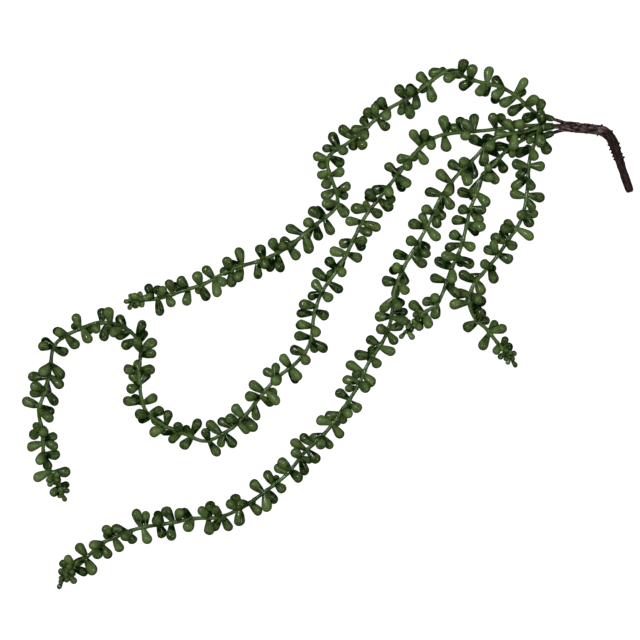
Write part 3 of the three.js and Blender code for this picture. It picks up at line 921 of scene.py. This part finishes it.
def stem_radius(distance):
    """The radius follows the marks, and the free end is rounded down to a rim round the wire's bore."""
    marks = [stem_route.distance_of_mark(number) for number in range(len(MAIN_STEM))]
    radius = float(np.interp(distance, marks, [mark[3] for mark in MAIN_STEM]))
    into_end = clamp(1 - (stem_route.length - FIT_GAP - distance) / END_ROUNDING, 0, 1)
    return lerp(END_RIM, radius if into_end == 0 else END_RADIUS, math.sqrt(1 - into_end ** 2))


def trunk_skin():
    """The trunk, with the wire's bore open at its free end."""
    end = stem_route.length - FIT_GAP
    bore = WIRE_RADIUS + FIT_GAP
    bottom = stem_route.length - WIRE_LENGTH - FIT_GAP
    profile = [(0, 0)]
    for distance in np.arange(0, end - END_ROUNDING, TRUNK_STEP):
        profile.append((distance, stem_radius(distance)))
    for share in END_SHARES:
        distance = end - END_ROUNDING * (1 - share)
        profile.append((distance, stem_radius(distance)))
    for distance in np.linspace(end, bottom, int((end - bottom) / TRUNK_STEP)):
        profile.append((distance, bore))
    profile.append((bottom, 0))
    return turned_along(stem_route, profile, STEM_SIDES)


def branch_skin(name):
    """A branch thins on the way to its vine, with slight swellings up to the socket's mouth."""
    branch = branch_routes[name]
    end = branch.length - FIT_GAP
    tapered = branch.length - SOCKET_DEPTH - SOCKET_RADIUS
    profile = [(0, 0)]
    for distance in np.arange(0, end, BRANCH_STEP):
        radius = lerp(BRANCH_ROOT_RADIUS, BRANCH_RADIUS, min(distance / tapered, 1))
        swell = BRANCH_SWELL * noise.noise(Vector((distance / BRANCH_SWELL_LENGTH, VINE_SEEDS[name], 0)))
        profile.append((distance, radius + (swell if distance < tapered else 0)))
    profile += [(end, BRANCH_RADIUS), (end, 0)]
    return turned_along(branch, profile, BRANCH_SIDES)


def nub_skin(distance, degrees):
    """A small thorn with a rounded tip, its root sunk in the bark."""
    angle = math.radians(degrees)
    middle = stem_route.at(distance)
    forward = stem_route.direction_at(distance)
    radius = stem_radius(distance)
    root = around(middle, forward, angle, radius - NUB_HEIGHT)
    tip = around(middle, forward, angle, radius + NUB_HEIGHT) + forward * NUB_LEAN
    line = Route([root, (root + tip) / 2, tip])
    rings = [(share * line.length, wide * NUB_RADIUS) for share, wide in NUB_SHARES]
    return turned_along(line, [(0, 0), *rings, (line.length, 0)], NUB_SIDES)


def vectors_of(collection, field):
    """The vectors of a mesh's points or normals, one row each."""
    values = np.zeros(len(collection) * 3)
    collection.foreach_get(field, values)
    return values.reshape(-1, 3)


def add_main_stem(material):
    """Trunk, branches and nubs are fused by a remesh, then knobs and grain are raised on the bark."""
    skins = [trunk_skin(), *[branch_skin(name) for name in VINE_SEEDS], *[nub_skin(*nub) for nub in NUBS]]
    holder = new_object("main_stem_rough", new_mesh("main_stem_rough", *joined_skins(skins)))
    remesh = holder.modifiers.new("fuse", "REMESH")
    remesh.mode = "VOXEL"
    remesh.voxel_size = STEM_VOXEL * MM
    soften = holder.modifiers.new("soften", "SMOOTH")
    soften.factor = 0.5
    soften.iterations = 3
    stem = made_real(holder, "main_stem_fine")
    mesh = stem.data
    points = vectors_of(mesh.vertices, "co") / MM
    normals = vectors_of(mesh.vertex_normals, "vector")

    # Where each point lies: along the stem's middle line, across it, above it, and out from it
    marks = np.arange(0, stem_route.length, 0.5)
    line = np.array([stem_route.at(mark) for mark in marks])
    forward = np.array([stem_route.direction_at(mark) for mark in marks])
    nearest = np.linalg.norm(points[:, None, :] - line[None, :, :], axis=2).argmin(axis=1)
    offset = points - line[nearest]
    forward = forward[nearest]
    left = np.cross((0, 0, 1), forward)
    along = marks[nearest] + np.sum(offset * forward, axis=1)
    across = np.sum(offset * left, axis=1)
    above = np.sum(offset * np.cross(forward, left), axis=1)
    out = np.linalg.norm(offset, axis=1)

    relief = np.zeros(len(points))
    dust = np.zeros(len(points))
    for i, point in enumerate(points):
        if out[i] < BORE_REACH and along[i] > BORE_START:
            continue
        bark = clamp((BARK_LENGTH - along[i]) / BARK_FADE, 0, 1)
        trunk = clamp((out[i] - TRUNK_REACH) / TRUNK_FADE, 0, 1) * clamp(1 + along[i] / FORK_FADE, 0, 1)
        ridges = noise.noise(Vector((across[i], above[i], along[i] / RIDGE_STRETCH)) / RIDGE_WIDTH)
        knobs = noise.noise(Vector(point / KNOB_WIDTH))
        grain = noise.noise(Vector(point / GRAIN_WIDTH))
        coarse = BARK_RIDGES * ridges + BARK_KNOBS * knobs
        height = lerp(BRANCH_KNOBS, 1, trunk) * coarse + BARK_GRAIN * grain
        relief[i] = SOFTENING_LOSS + height * lerp(SMOOTH_RELIEF, 1, bark)
        # Dusting on the ridges, which also stands in for painted highlight on them
        dust[i] = lerp(BRANCH_DUST_AND_HIGHLIGHT, 0, trunk) + ridges + KNOB_DUST_AND_HIGHLIGHT * knobs + GRAIN_DUST_AND_HIGHLIGHT * grain
    points += normals * relief[:, None]
    points[:, 2] = np.maximum(points[:, 2], SURFACE_GAP)
    mesh.vertices.foreach_set("co", (points * MM).ravel())
    store(mesh, "dust", "FLOAT", dust)
    store(mesh, "along", "FLOAT", along / stem_route.length)
    mesh.shade_smooth()
    mesh.materials.clear()
    mesh.materials.append(material)
    mesh.update()
    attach(stem, "root")
    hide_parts("main_stem")


# Materials


def new_material(name):
    material = bpy.data.materials.new(name)
    material.use_nodes = True
    return material, material.node_tree, material.node_tree.nodes["Principled BSDF"]


def named(tree, name):
    """A value that the mesh carries at its points."""
    return add_node(tree, "ShaderNodeAttribute", {"attribute_name": name}).outputs["Fac"]


def mixed(tree, share, first, second):
    """The first colour at 0, and the second at 1."""
    node = add_node(tree, "ShaderNodeMix", {"data_type": "RGBA"})
    plug(tree, node, "Factor", share)
    plug(tree, node, "A", first)
    plug(tree, node, "B", second)
    return output(node)


def spotted(tree, spots_per_mm, detail=2.0, roughness=0.5):
    """Noise in the object's own space."""
    where = tree.nodes.new("ShaderNodeTexCoord").outputs["Object"]
    node = add_node(tree, "ShaderNodeTexNoise", Vector=where, Scale=spots_per_mm / MM, Detail=detail)
    plug(tree, node, "Roughness", roughness)
    return node.outputs["Fac"]


def ranged(tree, value, low, high, to_low=0.0, to_high=1.0):
    """A value from low to high becomes one from to_low to to_high, smoothly."""
    node = add_node(tree, "ShaderNodeMapRange", {"interpolation_type": "SMOOTHSTEP"}, Value=value)
    plug(tree, node, "From Min", low)
    plug(tree, node, "From Max", high)
    plug(tree, node, "To Min", to_low)
    plug(tree, node, "To Max", to_high)
    return node.outputs["Result"]


def math_node(tree, operation, first, second):
    """Two values put together. Only the first one counts where the operation takes one."""
    node = add_node(tree, "ShaderNodeMath", {"operation": operation})
    for socket, value in zip(node.inputs, (first, second)):
        if isinstance(value, bpy.types.NodeSocket):
            tree.links.new(value, socket)
        else:
            socket.default_value = value
    return output(node)


def added(tree, first, second):
    return math_node(tree, "ADD", first, second)


def times(tree, first, second):
    return math_node(tree, "MULTIPLY", first, second)


def bumped(tree, shader, height, strength, distance):
    """Fine relief in the material alone, as deep as a distance in millimetres."""
    bump = add_node(tree, "ShaderNodeBump", Strength=strength, Distance=distance * MM, Height=height)
    plug(tree, shader, "Normal", output(bump))


# Greens of the vines, and how strongly each thing colours them
LEAF_DEEP = (0.0010, 0.0065, 0.0003, 1)
LEAF_MIDDLE = (0.0615, 0.1, 0.0285, 1)
LEAF_YELLOW = (0.09, 0.12, 0.0225, 1)
STRING_GREEN = (0.04, 0.0715, 0.0165, 1)
SEAM_YELLOW = (0.14, 0.155, 0.033, 1)
RIBS_ROUND_LEAF = 11
RIB_WANDER = 5
RIB_SHADE = 0.24
MOTTLE = 0.2
# Painted shade at a leaf's neck, where the string and neighbouring leaves would shade it
NECK_PAINTED_SHADE = 0.75
YELLOW_FLUSH = 0.35
STRING_SHADE = 0.6
SLEEVE_SHADE = 0.5
VINE_GLOSS = 0.4
VINE_RELIEF = 0.09


def vine_plastic():
    """Satin green plastic: each leaf is tinted at random and darkened by painted shade near higher leaves,
    with painted shade at its neck and faint ribs along it.
    """
    material, tree, shader = new_material("vine plastic")
    leafiness = named(tree, "leafiness")

    around_leaf = add_node(tree, "ShaderNodeUVMap", {"uv_map": "leaf_uv"})
    turn = add_node(tree, "ShaderNodeSeparateXYZ", Vector=output(around_leaf)).outputs["X"]
    wander = times(tree, spotted(tree, 0.4), RIB_WANDER)
    angle = added(tree, times(tree, turn, 2 * math.pi * RIBS_ROUND_LEAF), wander)
    ribs = times(tree, math_node(tree, "SINE", angle, 0), ranged(tree, leafiness, 0.1, 0.5, 0, 0.5))

    # How light each leaf is: its tinting with painted shade from higher leaves, mottling, painted shade at
    # the neck, and the ribs
    mottle = ranged(tree, spotted(tree, 0.25), 0.3, 0.7, -MOTTLE, MOTTLE)
    # Painted shade at each leaf's neck, in patches
    neck = ranged(tree, leafiness, 0.15, 0.62, NECK_PAINTED_SHADE, 0)
    neck = times(tree, neck, ranged(tree, spotted(tree, 0.11), 0.4, 0.6))
    depth = math_node(tree, "SUBTRACT", added(tree, named(tree, "tint"), mottle), neck)
    depth = added(tree, depth, times(tree, ribs, RIB_SHADE))
    leaf = mixed(tree, depth, LEAF_DEEP, LEAF_MIDDLE)
    flush = times(tree, ranged(tree, spotted(tree, 0.16), 0.52, 0.7), YELLOW_FLUSH)
    leaf = mixed(tree, flush, leaf, LEAF_YELLOW)

    shade = ranged(tree, spotted(tree, 0.06), 0.4, 0.65, 0, STRING_SHADE)
    string = mixed(tree, shade, STRING_GREEN, LEAF_DEEP)
    string = mixed(tree, times(tree, named(tree, "sleeve"), SLEEVE_SHADE), string, LEAF_DEEP)
    colour = mixed(tree, ranged(tree, leafiness, 0.02, 0.2), string, leaf)
    colour = mixed(tree, named(tree, "seam"), colour, SEAM_YELLOW)
    plug(tree, shader, "Base Color", colour)
    plug(tree, shader, "Roughness", ranged(tree, spotted(tree, 1.2), 0.3, 0.7, 0.15, 0.3))
    shader.inputs["Specular IOR Level"].default_value = VINE_GLOSS
    bumped(tree, shader, added(tree, ribs, spotted(tree, 2.2, detail=3)), 0.5, VINE_RELIEF)
    return material


BARK_BLACK = (0.0085, 0.0050, 0.0042, 1)
BARK_BROWN = (0.0190, 0.0112, 0.0095, 1)
# Pale pink grey of the dusting and painted highlight
BARK_DUST_AND_HIGHLIGHT = (0.16, 0.112, 0.106, 1)
# Where the dusting and painted highlight end towards the bend, as shares of the stem's length, and what is
# left of them there
DUST_AND_HIGHLIGHT_END = (0.32, 0.46)
BEND_DUST_AND_HIGHLIGHT = 0.02
BARK_GLOSS = 0.07
BARK_RELIEF = 0.12


def bark_plastic():
    """Near black brown plastic, with pale dusting and painted highlight on its ridges from the fork to the
    bend.
    """
    material, tree, shader = new_material("bark plastic")
    dust = named(tree, "dust")
    base = mixed(tree, ranged(tree, dust, -0.4, 0.5), BARK_BLACK, BARK_BROWN)
    fork_side = ranged(tree, named(tree, "along"), *DUST_AND_HIGHLIGHT_END, 1, BEND_DUST_AND_HIGHLIGHT)
    # Dusting and painted highlight on the ridges, fading out past the bend
    rubbed_and_highlit = times(tree, ranged(tree, dust, -0.3, 0.8), fork_side)
    patchy = times(tree, rubbed_and_highlit, ranged(tree, spotted(tree, 1.4, 3), 0.35, 0.65, 0.5, 0.85))
    plug(tree, shader, "Base Color", mixed(tree, patchy, base, BARK_DUST_AND_HIGHLIGHT))
    plug(tree, shader, "Roughness", ranged(tree, spotted(tree, 1.1), 0.3, 0.7, 0.5, 0.72))
    shader.inputs["Specular IOR Level"].default_value = BARK_GLOSS
    bumped(tree, shader, spotted(tree, 1.7, 4, 0.6), 0.6, BARK_RELIEF)
    return material


WIRE_GREY = (0.36, 0.37, 0.38, 1)
WIRE_RELIEF = 0.02


def wire_steel():
    """Plain drawn wire, with fine lines round it."""
    material, tree, shader = new_material("wire steel")
    lines = spotted(tree, 2.5, 3)
    shader.inputs["Base Color"].default_value = WIRE_GREY
    shader.inputs["Metallic"].default_value = 1
    plug(tree, shader, "Roughness", ranged(tree, lines, 0.3, 0.7, 0.28, 0.45))
    bumped(tree, shader, lines, 0.3, WIRE_RELIEF)
    return material


WHITE = (1, 1, 1, 1)
FLOOR_PALE = (0.93, 0.93, 0.93, 1)
FLOOR_PALEST = (0.95, 0.95, 0.95, 1)
FLOOR_GLOW = 0.85
GLOW_STRENGTH = 1.12


def floor_paint():
    """Pale and lit from below, so that the spray throws hardly any shade on it."""
    material, tree, shader = new_material("pale floor")
    tone = ranged(tree, spotted(tree, 0.004), 0.3, 0.7)
    plug(tree, shader, "Base Color", mixed(tree, tone, FLOOR_PALE, FLOOR_PALEST))
    shader.inputs["Roughness"].default_value = 0.9
    glow = add_node(tree, "ShaderNodeEmission", Color=WHITE, Strength=GLOW_STRENGTH)
    blend = tree.nodes.new("ShaderNodeMixShader")
    blend.inputs["Fac"].default_value = FLOOR_GLOW
    tree.links.new(output(shader), blend.inputs[1])
    tree.links.new(output(glow), blend.inputs[2])
    tree.links.new(output(blend), tree.nodes["Material Output"].inputs["Surface"])
    return material


# Studio

FLOOR_SIDE = 4000
FLOOR_DROP = 0.05
LENS = 100
SENSOR = 36
MIDDLE_HEIGHT = 7.5
# Softboxes: place, side and power, and whether glossy plastic mirrors them
SOFTBOXES = {
    "top softbox": ((-150, 250, 2300), 1800, 82, False),
    "side softbox": ((-1000, 700, 1700), 170, 15, True),
    "far softbox": ((1100, -500, 1500), 170, 6, True),
}
WORLD_STRENGTH = 0.01


def add_floor():
    """A pale floor just below the spray, which takes no part in its shading."""
    half = FLOOR_SIDE / 2
    plan = [(-half, -half), (half, -half), (half, half), (-half, half)]
    corners = [(x, y, -FLOOR_DROP) for x, y in plan]
    floor = new_object("floor", new_mesh("floor", corners, [(0, 1, 2, 3)]))
    floor.data.materials.append(floor_paint())
    floor.visible_diffuse = False
    floor.visible_glossy = False


def add_camera():
    """Straight above, so far away that the picture's scale holds at the middle height of the spray."""
    middle = place((PICTURE_SIDE_PX / 2, PICTURE_SIDE_PX / 2, MIDDLE_HEIGHT))
    away = PICTURE_SIDE_PX * MM_PER_PX * LENS / SENSOR
    data = bpy.data.cameras.new("camera")
    data.lens = LENS
    data.sensor_width = SENSOR
    data.clip_end = 10
    camera = bpy.data.objects.new("camera", data)
    camera.location = Vector(middle + (0, 0, away)) * MM
    bpy.context.scene.collection.objects.link(camera)
    bpy.context.scene.camera = camera


def add_softbox(name, spot, side, power, mirrored):
    """A square lamp that faces the middle of the spray."""
    data = bpy.data.lights.new(name, "AREA")
    data.shape = "SQUARE"
    data.size = side * MM
    data.energy = power
    light = bpy.data.objects.new(name, data)
    light.location = Vector(spot) * MM
    light.rotation_euler = (-light.location).to_track_quat("-Z", "Y").to_euler()
    light.visible_glossy = mirrored
    bpy.context.scene.collection.objects.link(light)


def add_lights():
    for name, values in SOFTBOXES.items():
        add_softbox(name, *values)
    world = bpy.data.worlds.new("studio")
    world.use_nodes = True
    background = world.node_tree.nodes["Background"]
    background.inputs["Color"].default_value = WHITE
    background.inputs["Strength"].default_value = WORLD_STRENGTH
    bpy.context.scene.world = world
    bpy.context.scene.view_settings.view_transform = "Standard"


def dress_wire(material):
    """The wire keeps the solids' own node, in a better finish."""
    wire = frame["nodes"]["stem_wire"]
    wire.data.materials.clear()
    wire.data.materials.append(material)


add_camera()
add_lights()
add_floor()
add_vines(vine_plastic())
add_main_stem(bark_plastic())
dress_wire(wire_steel())
